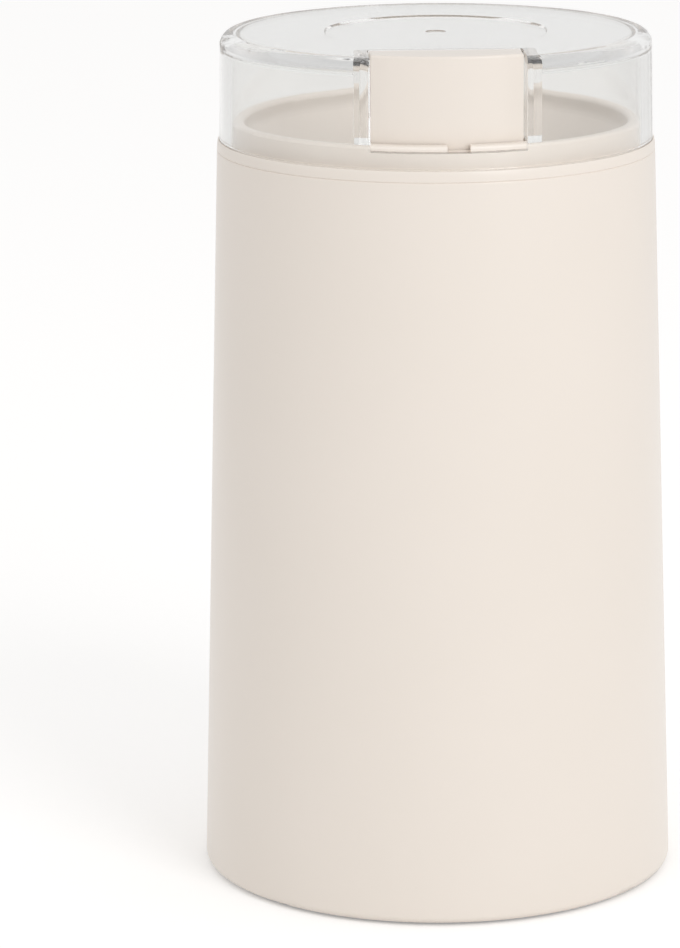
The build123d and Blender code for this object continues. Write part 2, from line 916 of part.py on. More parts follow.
def stator_core():
    outline = RectangleRounded(core_width, core_breadth, core_corner)
    plan = outline - Circle(bore_radius)
    for sx in (-1, 1):
        for sy in (-1, 1):
            width = window_far - window_near
            depth = window_near - pole_half
            x = sx * (window_near + window_far) / 2
            y = sy * (pole_half + window_near) / 2
            plan -= Pos(x, y) * Rectangle(width, depth)
            y = sy * (window_near - slot_opening)
            plan -= Pos(sx * window_near / 2, y) * Rectangle(window_near + coil_gap, slot_opening)
    for y in (-column_circle, column_circle):
        plan -= Pos(0, y) * Circle(motor_screw_radius + slip_gap)
    return extrude(Pos(0, 0, core_bottom) * plan, core_length)


def field_coils():
    low, top = core_bottom - coil_rise, core_top + coil_rise
    near, far = window_near + coil_gap, window_far - coil_gap
    half = window_near - coil_gap
    outer = block(near, far, -half, half, low, top)
    outer = fillet(outer.edges().filter_by(Axis.X), coil_round)
    inner = block(near - 1, far + 1, -pole_half - coil_gap, pole_half + coil_gap,
                  core_bottom - coil_gap, core_top + coil_gap)
    coil = outer - inner
    return joined([coil, Rot(0, 0, 180) * coil])


def rotor_core():
    radius = bore_radius - air_gap
    body = tube(radius, shaft_radius + slip_gap, core_bottom, core_top)
    slot = block(radius - rotor_slot_depth, radius + 1, -rotor_slot_width / 2, rotor_slot_width / 2,
                 core_bottom - 1, core_top + 1)
    for i in range(rotor_slots):
        body -= Rot(0, 0, 360.0 * i / rotor_slots) * slot
    return body


def rotor_windings():
    # Wound end turns above and below the core
    hole = shaft_radius + slip_gap
    rings = []
    for low in (core_bottom - winding_height, core_top):
        top = low + winding_height
        corners = [(hole, low), (winding_radius, low), (winding_radius, top), (hole, top)]
        far = corners[1] if low < core_bottom else corners[2]
        rings.append(turned(corners, [(far, winding_round)]))
    return joined(rings)


def commutator():
    top = core_bottom - winding_height
    low = top - commutator_height
    body = rod(commutator_radius, low, top) + rod(commutator_radius + riser_width, top - riser_height, top)
    slit = block(commutator_radius - commutator_slit_depth, commutator_radius + 2,
                 -commutator_slit / 2, commutator_slit / 2, low - 1, top + 1)
    for i in range(commutator_bars):
        body -= Rot(0, 0, 360.0 * (i + 0.5) / commutator_bars) * slit
    return body - rod(shaft_radius + slip_gap, low - 1, top + 1)


def cooling_fan():
    body = rod(fan_radius, fan_bottom, fan_bottom + fan_disc) + rod(fan_hub, fan_bottom, fan_top)
    vane = block(fan_hub - 1, fan_radius, -fan_blade_thickness / 2, fan_blade_thickness / 2,
                 fan_bottom + fan_disc / 2, fan_top)
    vane = Pos(fan_hub, 0, 0) * Rot(0, 0, fan_blade_angle) * Pos(-fan_hub, 0, 0) * vane
    for i in range(fan_blades):
        body += (Rot(0, 0, 360.0 * i / fan_blades) * vane) & rod(fan_radius, fan_bottom, fan_top)
    return body - rod(shaft_radius + slip_gap, fan_bottom - 1, fan_top + 1)


def lower_bridge():
    body = block(-bridge_half_width, bridge_half_width, -column_circle, column_circle, bridge_bottom, bridge_top)
    body += block(-bridge_arm, bridge_arm, -holder_width / 2, holder_width / 2, bridge_bottom, bridge_top)
    body += rod(lower_bearing_radius + hub_wall, hub_bottom, hub_top)
    for y in (-column_circle, column_circle):
        body += rod(bridge_half_width, bridge_bottom, bridge_top, 0, y)
        body += rod(column_radius, bridge_top, core_bottom, 0, y)
        body -= rod(motor_screw_radius + slip_gap, bridge_bottom - 1, core_bottom + 1, 0, y)
    body -= rod(lower_bearing_radius, lower_bearing_bottom, hub_top + 1)
    return body - rod(shaft_radius + 1, hub_bottom - 1, hub_top)


def motor_screws():
    length = bracket_top - motor_screw_cover - motor_screw_end_gap - bridge_bottom
    piece = screw(motor_screw_radius, length, motor_screw_head, screw_head_height)
    return joined(Pos(0, y, bridge_bottom) * piece for y in (-column_circle, column_circle))


def holder_box(gap):
    # The channel that a brush slides in, widened by a gap all round
    low = bridge_top + brush_rise
    half = brush_width / 2
    return half + gap, low - gap, low + brush_height + gap


def brush_holders():
    start = lower_bearing_radius + hub_wall + holder_gap
    half = holder_width / 2
    body = block(start, holder_end, -half, half, bridge_top, bridge_top + holder_height)
    wide, low, top = holder_box(brush_gap)
    body -= block(start - 1, holder_end - holder_wall, -wide, wide, low, top)
    body = fillet(body.edges().filter_by(Axis.X).group_by(Axis.Z)[-1], holder_wall / 2)
    return joined([body, Rot(0, 0, 180) * body])


def carbon_brushes():
    wide, low, top = holder_box(0)
    body = block(commutator_radius - 1, commutator_radius + brush_length, -wide, wide, low, top)
    body -= rod(commutator_radius + slip_gap, low - 1, top + 1)
    return joined([body, Rot(0, 0, 180) * body])


def brush_springs():
    start = commutator_radius + brush_length
    length = holder_end - holder_wall - start
    piece = coil_spring(brush_spring_radius, brush_spring_wire, length, brush_spring_turns)
    wide, low, top = holder_box(0)
    piece = Pos(start, 0, (low + top) / 2) * Rot(0, 90, 0) * piece
    return joined([piece, Rot(0, 0, 180) * piece])


# ---- Switch ----

def switch_back_y():
    return rod_y + switch_thickness / 2 + seat_gap


def switch_top():
    return bracket_top + switch_rise


def switch_bottom():
    return switch_top() - switch_height


def micro_switch():
    half, deep = switch_width / 2, switch_thickness / 2
    body = block(-half, half, rod_y - deep, rod_y + deep, switch_bottom(), switch_top())
    body = fillet(body.edges().filter_by(Axis.Y), switch_round)
    well = switch_top() - plunger_depth - button_travel - plunger_gap
    body -= rod(plunger_radius + slip_gap, well, switch_top() + 1, 0, rod_y)
    for x in (-switch_hole_spread, switch_hole_spread):
        z = switch_bottom() + switch_hole_rise
        body -= Pos(x, 0, z) * Rot(90, 0, 0) * rod(switch_screw_radius + slip_gap, 0, base_radius)
    for x in (-terminal_pitch, 0, terminal_pitch):
        body -= terminal_blank(x, seat_gap / 2)
    return body


def terminal_blank(x, gap):
    low = switch_bottom() - terminal_length
    high = switch_bottom() + terminal_root
    half = terminal_width / 2 + gap
    deep = terminal_thickness / 2 + gap
    return block(x - half, x + half, rod_y - deep, rod_y + deep, low, high + gap)


def switch_terminals():
    return joined(terminal_blank(x, 0) for x in (-terminal_pitch, 0, terminal_pitch))


def switch_plunger():
    low = switch_top() - plunger_depth
    body = rod(plunger_radius, low, switch_top() + plunger_stand, 0, rod_y)
    return fillet(body.edges().sort_by(Axis.Z)[-1], plunger_radius / 2)


def switch_screws():
    length = switch_thickness + bracket_tab
    piece = screw(switch_screw_radius, length, switch_screw_head, screw_head_height / 1.5, screw_cross / 2)
    front = rod_y - switch_thickness / 2
    z = switch_bottom() + switch_hole_rise
    return joined(
        Pos(x, front, z) * Rot(-90, 0, 0) * piece
        for x in (-switch_hole_spread, switch_hole_spread)
    )


# ---- Leads ----

def leads():
    # One from the switch over the core's edge to a coil, and a tail from each coil to its brush holder
    x = (window_near + window_far) / 2
    start = switch_bottom() - terminal_length - slip_gap
    over = core_top + lead_rise
    edge = core_breadth / 2
    path = FilletPolyline(
        (terminal_pitch, rod_y, start),
        (terminal_pitch, rod_y, start - lead_drop),
        (x, -edge - lead_side, start - lead_drop),
        (x, -edge, over),
        (x, -window_near + coil_gap - slip_gap, over),
        radius=lead_bend,
    )
    section = Plane(origin=path @ 0, z_dir=path % 0) * Circle(lead_radius)
    low = bridge_top + holder_height + slip_gap
    high = core_bottom - coil_rise - slip_gap
    tails = [rod(tail_radius, low, high, side * x, side * tail_offset) for side in (-1, 1)]
    return joined([sweep(section, path)] + tails)


parts = {
    "outer_shell": outer_shell,
    "bowl_carrier": bowl_carrier,
    "lid": lid,
    "button_cap": button_cap,
    "push_rod": push_rod,
    "button_spring": button_spring,
    "grinding_bowl": grinding_bowl,
    "bowl_seal": bowl_seal,
    "shaft_seal": shaft_seal,
    "motor_shaft": motor_shaft,
    "blade": blade,
    "blade_nut": blade_nut,
    "upper_bearing": upper_bearing,
    "lower_bearing": lower_bearing,
    "thrust_washers": thrust_washers,
    "motor_bracket": motor_bracket,
    "bracket_dampers": bracket_dampers,
    "bracket_screws": bracket_screws,
    "stator_core": stator_core,
    "field_coils": field_coils,
    "rotor_core": rotor_core,
    "rotor_windings": rotor_windings,
    "commutator": commutator,
    "cooling_fan": cooling_fan,
    "lower_bridge": lower_bridge,
    "motor_screws": motor_screws,
    "brush_holders": brush_holders,
    "carbon_brushes": carbon_brushes,
    "brush_springs": brush_springs,
    "micro_switch": micro_switch,
    "switch_terminals": switch_terminals,
    "switch_plunger": switch_plunger,
    "switch_screws": switch_screws,
    "leads": leads,
    "carrier_screws": carrier_screws,
    "base_plate": base_plate,
    "base_screws": base_screws,
    "feet": feet,
    "cord_gland": cord_gland,
}

os.makedirs("parts", exist_ok=True)
for name, make in parts.items():
    export_step(make(), "parts/" + name + ".step")
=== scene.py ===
import json
import math

import bmesh
import bpy
from mathutils import Matrix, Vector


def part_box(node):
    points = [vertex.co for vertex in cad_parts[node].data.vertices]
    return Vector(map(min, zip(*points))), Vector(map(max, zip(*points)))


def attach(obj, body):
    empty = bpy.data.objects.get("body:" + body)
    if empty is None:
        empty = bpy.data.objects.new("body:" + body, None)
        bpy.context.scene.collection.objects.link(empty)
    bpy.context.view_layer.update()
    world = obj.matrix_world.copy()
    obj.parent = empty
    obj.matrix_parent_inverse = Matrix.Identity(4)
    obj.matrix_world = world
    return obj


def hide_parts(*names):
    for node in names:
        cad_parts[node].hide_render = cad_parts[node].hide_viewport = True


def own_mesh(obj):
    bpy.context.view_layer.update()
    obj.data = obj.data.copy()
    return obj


# Electric spice grinder: cream moulded body, clear lift-off lid, tall push button.
# The CAD frame keeps every shape and place. This script gives it finishes, adds a thin lip round the
# lid's foot and wound return springs, and sets up the room, the lamp and the camera.

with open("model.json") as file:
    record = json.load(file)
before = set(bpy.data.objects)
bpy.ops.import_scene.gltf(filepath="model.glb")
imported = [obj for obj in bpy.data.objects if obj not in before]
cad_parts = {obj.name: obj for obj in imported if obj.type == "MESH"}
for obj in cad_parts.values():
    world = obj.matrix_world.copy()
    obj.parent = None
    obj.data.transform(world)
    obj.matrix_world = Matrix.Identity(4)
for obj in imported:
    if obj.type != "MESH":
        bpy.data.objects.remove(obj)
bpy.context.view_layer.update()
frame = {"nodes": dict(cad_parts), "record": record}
nodes = frame["nodes"]
print("frame loaded:", len(nodes), "nodes")


def hexColour(code):
    # "#rrggbb" in sRGB to linear RGBA
    parts = [int(code[i:i + 2], 16) / 255 for i in (1, 3, 5)]
    linear = [p / 12.92 if p <= 0.04045 else ((p + 0.055) / 1.055) ** 2.4 for p in parts]
    return (*linear, 1.0)


def addNode(tree, kind, settings=None, links=None):
    node = tree.nodes.new("ShaderNode" + kind)
    for key, value in (settings or {}).items():
        if isinstance(key, int) or key in node.inputs:
            node.inputs[key].default_value = value
        else:
            setattr(node, key, value)
    for key, socket in (links or {}).items():
        tree.links.new(socket, node.inputs[key])
    return node


def perMm(size):
    # Texture scale whose features are about this many millimetres across
    return 1000.0 / size


noiseSpread = (0.3, 0.7)  # nearly all of a noise texture lies between these
bandsPerScale = 20  # a wave texture draws this many bands where its scale says one


def startMaterial(name, shaderSettings):
    material = bpy.data.materials.new(name)
    material.use_nodes = True
    tree = material.node_tree
    tree.nodes.clear()
    shader = addNode(tree, "BsdfPrincipled", shaderSettings)
    addNode(tree, "OutputMaterial", links={"Surface": shader.outputs["BSDF"]})
    place = addNode(tree, "TexCoord").outputs["Object"]
    return material, tree, shader, place


def giveSurface(tree, shader, values, tone, polish, relief, depthMm, polishFrom=noiseSpread):
    # Colour goes from shade to light with tone, roughness from low to high with polish
    colour = addNode(tree, "Mix", {"data_type": "RGBA", 6: hexColour(values["shade"]),
                                   7: hexColour(values["light"])}, {0: tone})
    rough = addNode(tree, "MapRange", {"From Min": polishFrom[0], "From Max": polishFrom[1],
                                       "To Min": values["roughLow"], "To Max": values["roughHigh"]},
                    {"Value": polish})
    bump = addNode(tree, "Bump", {"Distance": depthMm / 1000}, {"Height": relief})
    tree.links.new(colour.outputs[2], shader.inputs["Base Color"])
    tree.links.new(rough.outputs["Result"], shader.inputs["Roughness"])
    tree.links.new(bump.outputs["Normal"], shader.inputs["Normal"])


# ABS, injection moulded: an even satin with a barely seen grain from the spark-eroded mould.
# The real grain is about 0.1 mm, drawn coarser so that it shows at all.
absValues = {
    "absSatinShell": {"shade": "#ebe2d8", "light": "#f0e7de", "roughLow": 0.28, "roughHigh": 0.34,
                      "mottleMm": 45.0, "grainMm": 0.5, "grainDepthMm": 0.006},
    "absSatinButton": {"shade": "#ebe2d8", "light": "#f0e7de", "roughLow": 0.28, "roughHigh": 0.34,
                       "mottleMm": 18.0, "grainMm": 0.5, "grainDepthMm": 0.005},
    # The carrier is the same cream ABS as the shell, drawn lighter as painted light for the light that
    # doesn't reach it under the clear lid.
    "absSatinCarrierPaintedLight": {"shade": "#f4eae0", "light": "#f8f0e7", "roughLow": 0.32, "roughHigh": 0.4,
                        "mottleMm": 30.0, "grainMm": 0.5, "grainDepthMm": 0.01},
    "absMattBase": {"shade": "#ded3c6", "light": "#e4dacd", "roughLow": 0.5, "roughHigh": 0.6,
                    "mottleMm": 30.0, "grainMm": 0.6, "grainDepthMm": 0.015},
}


def mouldedAbs(name):
    values = absValues[name]
    material, tree, shader, place = startMaterial(name, {"IOR": 1.54})
    mottle = addNode(tree, "TexNoise", {"Scale": perMm(values["mottleMm"]), "Detail": 2.0},
                     {"Vector": place})
    grain = addNode(tree, "TexNoise", {"Scale": perMm(values["grainMm"]), "Detail": 3.0},
                    {"Vector": place})
    giveSurface(tree, shader, values, mottle.outputs["Fac"], mottle.outputs["Fac"], grain.outputs["Fac"],
                values["grainDepthMm"])
    return material


# SAN, injection moulded in a polished mould: clear as glass, with faint waves in its faces
# and a trace of wiping haze. Light from lamps and pale surfaces passes it straight.
sanValues = {"tint": "#f5f5f4", "passes": "#ffffff", "ior": 1.57, "roughLow": 0.01, "roughHigh": 0.03,
             "hazeMm": 3.0, "waveMm": 14.0, "waveDepthMm": 0.003}


def polishedSan(name):
    values = sanValues
    material, tree, shader, place = startMaterial(name, {
        "Base Color": hexColour(values["tint"]), "IOR": values["ior"], "Transmission Weight": 1.0})
    haze = addNode(tree, "TexNoise", {"Scale": perMm(values["hazeMm"]), "Detail": 4.0, "Distortion": 1.5},
                   {"Vector": place})
    rough = addNode(tree, "MapRange", {"From Min": noiseSpread[0], "From Max": noiseSpread[1],
                                       "To Min": values["roughLow"], "To Max": values["roughHigh"]},
                    {"Value": haze.outputs["Fac"]})
    wave = addNode(tree, "TexNoise", {"Scale": perMm(values["waveMm"]), "Detail": 1.0},
                   {"Vector": place})
    relief = addNode(tree, "Bump", {"Distance": values["waveDepthMm"] / 1000},
                     {"Height": wave.outputs["Fac"]})
    tree.links.new(rough.outputs["Result"], shader.inputs["Roughness"])
    tree.links.new(relief.outputs["Normal"], shader.inputs["Normal"])
    rays = addNode(tree, "LightPath")
    clear = addNode(tree, "BsdfTransparent", {"Color": hexColour(values["passes"])})
    forPale = addNode(tree, "MixShader", links={
        0: rays.outputs["Is Diffuse Ray"], 1: shader.outputs["BSDF"], 2: clear.outputs["BSDF"]})
    forLamps = addNode(tree, "MixShader", links={
        0: rays.outputs["Is Shadow Ray"], 1: forPale.outputs["Shader"], 2: clear.outputs["BSDF"]})
    output = next(node for node in tree.nodes if node.type == "OUTPUT_MATERIAL")
    tree.links.new(forLamps.outputs["Shader"], output.inputs["Surface"])
    return material


# Stainless or turned steel and copper: fine rings that the tool left round the axis.
spunValues = {
    "stainlessSpunBowl": {"shade": "#c2c2c3", "light": "#d3d3d4", "roughLow": 0.2, "roughHigh": 0.32,
                          "ringMm": 0.5, "depthMm": 0.004, "cloudMm": 20.0},
    "steelTurnedShaft": {"shade": "#a3a3a5", "light": "#b8b8ba", "roughLow": 0.3, "roughHigh": 0.4,
                         "ringMm": 0.35, "depthMm": 0.006, "cloudMm": 20.0},
    "steelPolishedBearing": {"shade": "#b4b4b8", "light": "#c6c6ca", "roughLow": 0.12, "roughHigh": 0.2,
                             "ringMm": 0.3, "depthMm": 0.002, "cloudMm": 20.0},
    "copperTurnedBars": {"shade": "#a65f38", "light": "#bf7549", "roughLow": 0.24, "roughHigh": 0.38,
                         "ringMm": 0.4, "depthMm": 0.006, "cloudMm": 20.0},
}


def spunMetal(name):
    values = spunValues[name]
    material, tree, shader, place = startMaterial(name, {"Metallic": 1.0})
    flat = addNode(tree, "VectorMath", {"operation": "MULTIPLY", 1: (1, 1, 0)}, {0: place})
    radius = addNode(tree, "VectorMath", {"operation": "LENGTH"}, {0: flat.outputs["Vector"]})
    height = addNode(tree, "SeparateXYZ", links={"Vector": place})
    turned = addNode(tree, "CombineXYZ", links={"X": radius.outputs["Value"], "Y": height.outputs["Z"]})
    rings = addNode(tree, "TexNoise", {"Scale": perMm(values["ringMm"]), "Detail": 3.0, "Roughness": 0.7},
                    {"Vector": turned.outputs["Vector"]})
    cloud = addNode(tree, "TexNoise", {"Scale": perMm(values["cloudMm"]), "Detail": 2.0},
                    {"Vector": place})
    giveSurface(tree, shader, values, rings.outputs["Fac"], cloud.outputs["Fac"], rings.outputs["Fac"],
                values["depthMm"])
    return material


# Ground, drawn, plated, cast or stamped metal: small marks, stretched along the way it was worked.
streakValues = {
    "stainlessGroundBlade": {"shade": "#bcbcbe", "light": "#d0d0d2", "roughLow": 0.22, "roughHigh": 0.36,
                             "stretch": (1.0, 0.12, 1.0), "markMm": 0.4, "depthMm": 0.008},
    "steelZincPlated": {"shade": "#b7bbc0", "light": "#cdd0d3", "roughLow": 0.28, "roughHigh": 0.42,
                        "stretch": (1.0, 1.0, 1.0), "markMm": 0.8, "depthMm": 0.006},
    "springSteelDrawn": {"shade": "#9c9da1", "light": "#b4b5b9", "roughLow": 0.25, "roughHigh": 0.38,
                         "stretch": (1.0, 1.0, 0.3), "markMm": 0.3, "depthMm": 0.004},
    "aluminiumDieCast": {"shade": "#a9a9a8", "light": "#bdbdbb", "roughLow": 0.42, "roughHigh": 0.58,
                         "stretch": (1.0, 1.0, 1.0), "markMm": 0.9, "depthMm": 0.03},
    "brassStamped": {"shade": "#b98f45", "light": "#cda862", "roughLow": 0.3, "roughHigh": 0.42,
                     "stretch": (1.0, 0.3, 1.0), "markMm": 0.5, "depthMm": 0.005},
}


def streakedMetal(name):
    values = streakValues[name]
    material, tree, shader, place = startMaterial(name, {"Metallic": 1.0})
    along = addNode(tree, "Mapping", {"Scale": values["stretch"]}, {"Vector": place})
    marks = addNode(tree, "TexNoise", {"Scale": perMm(values["markMm"]), "Detail": 4.0, "Roughness": 0.65},
                    {"Vector": along.outputs["Vector"]})
    giveSurface(tree, shader, values, marks.outputs["Fac"], marks.outputs["Fac"], marks.outputs["Fac"],
                values["depthMm"])
    return material


# Electrical steel, punched and stacked: the edges of the sheets show as lines, with some bluing.
sheetValues = {"shade": "#4a4b4f", "light": "#74767b", "roughLow": 0.4, "roughHigh": 0.6,
               "sheetMm": 0.5, "depthMm": 0.05, "blueMm": 4.0}


def stackedSheets(name):
    values = sheetValues
    material, tree, shader, place = startMaterial(name, {"Metallic": 1.0})
    sheets = addNode(tree, "TexWave", {
        "bands_direction": "Z", "Scale": perMm(values["sheetMm"]) / bandsPerScale,
        "Distortion": 0.2, "Detail": 1.0}, {"Vector": place})
    blue = addNode(tree, "TexNoise", {"Scale": perMm(values["blueMm"]), "Detail": 4.0},
                   {"Vector": place})
    giveSurface(tree, shader, values, sheets.outputs["Fac"], blue.outputs["Fac"], sheets.outputs["Fac"],
                values["depthMm"])
    return material


# Enamelled copper wire, wound in layers: rounded turns under a thin amber varnish.
windingValues = {"shade": "#5e2410", "light": "#b4622e", "roughLow": 0.28, "roughHigh": 0.45,
                 "wireMm": 0.45, "depthMm": 0.12, "varnish": 0.6, "varnishRough": 0.12}


def woundCopper(name):
    values = windingValues
    material, tree, shader, place = startMaterial(name, {
        "Metallic": 0.85, "Coat Weight": values["varnish"], "Coat Roughness": values["varnishRough"]})
    turns = addNode(tree, "TexWave", {
        "bands_direction": "Z", "Scale": perMm(values["wireMm"]) / bandsPerScale,
        "Distortion": 1.2, "Detail": 2.0, "Detail Scale": 0.6}, {"Vector": place})
    giveSurface(tree, shader, values, turns.outputs["Fac"], turns.outputs["Fac"], turns.outputs["Fac"],
                values["depthMm"], polishFrom=(0.0, 1.0))
    return material


# Moulded rubber and dark moulded plastics: dull, with a dusty bloom in patches and a fine grain.
softValues = {
    "siliconeMoulded": {"shade": "#bdbab4", "light": "#cfccc6", "roughLow": 0.4, "roughHigh": 0.55,
                        "bloomMm": 6.0, "grainMm": 0.4, "grainDepthMm": 0.015},
    "rubberBlackMoulded": {"shade": "#141414", "light": "#262625", "roughLow": 0.62, "roughHigh": 0.8,
                           "bloomMm": 6.0, "grainMm": 0.4, "grainDepthMm": 0.015},
    "pvcGreyExtruded": {"shade": "#7d7d80", "light": "#8f8f92", "roughLow": 0.38, "roughHigh": 0.5,
                        "bloomMm": 6.0, "grainMm": 0.4, "grainDepthMm": 0.015},
    "nylonBlackMoulded": {"shade": "#17171a", "light": "#24242a", "roughLow": 0.42, "roughHigh": 0.55,
                          "bloomMm": 12.0, "grainMm": 0.4, "grainDepthMm": 0.015},
    "phenolicBlackMoulded": {"shade": "#121212", "light": "#1e1e1f", "roughLow": 0.34, "roughHigh": 0.46,
                             "bloomMm": 9.0, "grainMm": 0.4, "grainDepthMm": 0.015},
    "nylonRedMoulded": {"shade": "#84190f", "light": "#9b2417", "roughLow": 0.36, "roughHigh": 0.48,
                        "bloomMm": 6.0, "grainMm": 0.4, "grainDepthMm": 0.015},
    "carbonPressed": {"shade": "#0d0d0e", "light": "#262628", "roughLow": 0.5, "roughHigh": 0.75,
                      "bloomMm": 1.2, "grainMm": 0.4, "grainDepthMm": 0.015},
}


def softMoulding(name):
    values = softValues[name]
    material, tree, shader, place = startMaterial(name, {"IOR": 1.52, "Specular IOR Level": 0.35})
    bloom = addNode(tree, "TexNoise", {"Scale": perMm(values["bloomMm"]), "Detail": 5.0},
                    {"Vector": place})
    grain = addNode(tree, "TexNoise", {"Scale": perMm(values["grainMm"]), "Detail": 2.0},
                    {"Vector": place})
    giveSurface(tree, shader, values, bloom.outputs["Fac"], bloom.outputs["Fac"], grain.outputs["Fac"],
                values["grainDepthMm"])
    return material


finishes = {
    "shell_plastic": mouldedAbs("absSatinShell"),
    "button_plastic": mouldedAbs("absSatinButton"),
    "carrier_plastic": mouldedAbs("absSatinCarrierPaintedLight"),
    "base_plastic": mouldedAbs("absMattBase"),
    "lid_plastic": polishedSan("sanClearPolished"),
    "bowl_steel": spunMetal("stainlessSpunBowl"),
    "shaft_steel": spunMetal("steelTurnedShaft"),
    "bearing_steel": spunMetal("steelPolishedBearing"),
    "bar_copper": spunMetal("copperTurnedBars"),
    "blade_steel": streakedMetal("stainlessGroundBlade"),
    "screw_steel": streakedMetal("steelZincPlated"),
    "spring_steel": streakedMetal("springSteelDrawn"),
    "bracket_metal": streakedMetal("aluminiumDieCast"),
    "contact_brass": streakedMetal("brassStamped"),
    "core_steel": stackedSheets("electricalSteelStacked"),
    "winding_copper": woundCopper("copperEnamelledWound"),
    "seal_rubber": softMoulding("siliconeMoulded"),
    "black_rubber": softMoulding("rubberBlackMoulded"),
    "lead_insulation": softMoulding("pvcGreyExtruded"),
    "fan_plastic": softMoulding("nylonBlackMoulded"),
    "switch_plastic": softMoulding("phenolicBlackMoulded"),
    "plunger_plastic": softMoulding("nylonRedMoulded"),
    "carbon": softMoulding("carbonPressed"),
}
slotOfNode = {row["node"]: row["material_slot"] for row in frame["record"]["subparts"]}
for name, piece in nodes.items():
    for place in piece.material_slots:
        place.link = "OBJECT"
        place.material = finishes[slotOfNode[name]]
print("finishes given:", len(finishes))


# Lip on the shell's mouth, in metres: a thin upstand that goes round the foot of the lid. Its tip
# slopes in over tipRun, and its foot is cut back a little, so that a seam shows above the shell.
# Edges sharper than sharpAngle, in degrees, aren't smoothed.
lipValues = {"gap": 0.00003, "wall": 0.00033, "height": 0.0021, "tipRun": 0.0016, "tipSteps": 8,
             "footDrop": 0.00004, "footInset": 0.00014, "footRise": 0.00012, "steps": 192,
             "sharpAngle": 35}


def addPiece(name, shape, slot, body, sharpAngle):
    # A spin can leave a shape inside out, and its faces in another order at each run, so they are
    # turned outwards and sorted by their first and last corners
    bmesh.ops.recalc_face_normals(shape, faces=shape.faces)
    shape.verts.index_update()
    count = len(shape.verts)
    shape.faces.sort(key=lambda face: (count * min(corner.index for corner in face.verts)
                                       + max(corner.index for corner in face.verts)))
    for face in shape.faces:
        face.smooth = True
    mesh = bpy.data.meshes.new(name)
    shape.to_mesh(mesh)
    shape.free()
    mesh.set_sharp_from_angle(angle=math.radians(sharpAngle))
    mesh.materials.append(finishes[slot])
    piece = bpy.data.objects.new(name, mesh)
    bpy.context.scene.collection.objects.link(piece)
    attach(piece, body)
    return piece


def makeMouthLip(values):
    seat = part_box("lid")[0][2]
    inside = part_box("lid")[1][0] + values["gap"]
    outside = inside + values["wall"]
    shoulder = seat + values["height"] - values["tipRun"]
    outline = [(inside, seat), (outside - values["footInset"], seat - values["footDrop"]),
               (outside, seat + values["footRise"])]
    for step in range(values["tipSteps"] + 1):
        angle = math.radians(90) * step / values["tipSteps"]
        outline.append((inside + values["wall"] * math.cos(angle),
                        shoulder + values["tipRun"] * math.sin(angle)))
    lip = bmesh.new()
    corners = [lip.verts.new((radius, 0, height)) for radius, height in outline]
    edges = [lip.edges.new((corners[i - 1], corners[i])) for i in range(len(corners))]
    bmesh.ops.spin(lip, geom=corners + edges, axis=(0, 0, 1), cent=(0, 0, 0), angle=math.tau,
                   steps=values["steps"], use_merge=True)
    bmesh.ops.remove_doubles(lip, verts=lip.verts, dist=1e-7)
    addPiece("mouthLip", lip, "shell_plastic", "housing", values["sharpAngle"])


makeMouthLip(lipValues)
print("lip round the lid's foot made")


# Return springs under the button, in metres: drawn wire with closed end turns. Travel is how far the button
# goes down.
springValues = {"wire": 0.0005, "sides": 10, "stepsPerTurn": 28, "endTurns": 1, "openTurns": 5,
                "travel": 0.002, "sharpAngle": 50}


def makeReturnSprings(values):
    low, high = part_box("button_spring")
    height = high[2] - low[2]
    coil = (high[1] - low[1] - values["wire"]) / 2
    spread = high[0] - coil - values["wire"] / 2
    endRise = values["wire"] * values["endTurns"]
    openRise = height - values["wire"] - 2 * endRise
    spring = bmesh.new()
    section = Matrix.Translation((coil, 0, 0)) @ Matrix.Rotation(math.radians(90), 4, "X")
    ring = bmesh.ops.create_circle(spring, segments=values["sides"], radius=values["wire"] / 2,
                                   matrix=section)["verts"]
    wire = ring + spring.edges[:]
    endTurn = (values["endTurns"], endRise)
    for turns, rise in (endTurn, (values["openTurns"], openRise), endTurn):
        steps = turns * values["stepsPerTurn"]
        wire = bmesh.ops.spin(spring, geom=wire, axis=(0, 0, 1), cent=(0, 0, 0),
                              dvec=(0, 0, rise / steps), angle=math.tau * turns,
                              steps=steps)["geom_last"]
    bmesh.ops.holes_fill(spring, edges=spring.edges, sides=values["sides"])
    bmesh.ops.translate(spring, verts=spring.verts,
                        vec=(-spread, (low[1] + high[1]) / 2, low[2] + values["wire"] / 2))
    twin = bmesh.ops.duplicate(spring, geom=spring.verts[:] + spring.edges[:] + spring.faces[:])["geom"]
    bmesh.ops.translate(spring, verts=[part for part in twin if isinstance(part, bmesh.types.BMVert)],
                        vec=(2 * spread, 0, 0))
    piece = addPiece("returnSprings", spring, "spring_steel", "housing", values["sharpAngle"])
    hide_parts("button_spring")
    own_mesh(piece)


makeReturnSprings(springValues)
print("return springs wound")


# Levels of the room: white where it is seen, a little less as light on the object, a pale grey
# towards the horizon in what is mirrored, as between the walls of a real studio, and a pale grey
# ceiling in what is seen through the clear lid, from ceilingLow to ceilingHigh in the direction's Z.
# The floor's lift is less to the left and right, from sideNear to sideFar metres off the middle,
# for what is mirrored or seen through the lid: the lid's edges show against the white behind it.
roomValues = {"fill": 0.78, "seen": 1.0, "mirroredLow": 0.76, "mirroredHigh": 1.0,
              "ceiling": 0.72, "ceilingLow": 0.12, "ceilingHigh": 0.5,
              "floorShade": "#f4f3f2", "floorLight": "#f6f5f4", "fibreMm": 2.0, "floorSize": 6.0,
              "floorLift": 0.24, "sideLift": 0.1, "sideNear": 0.22, "sideFar": 0.42}


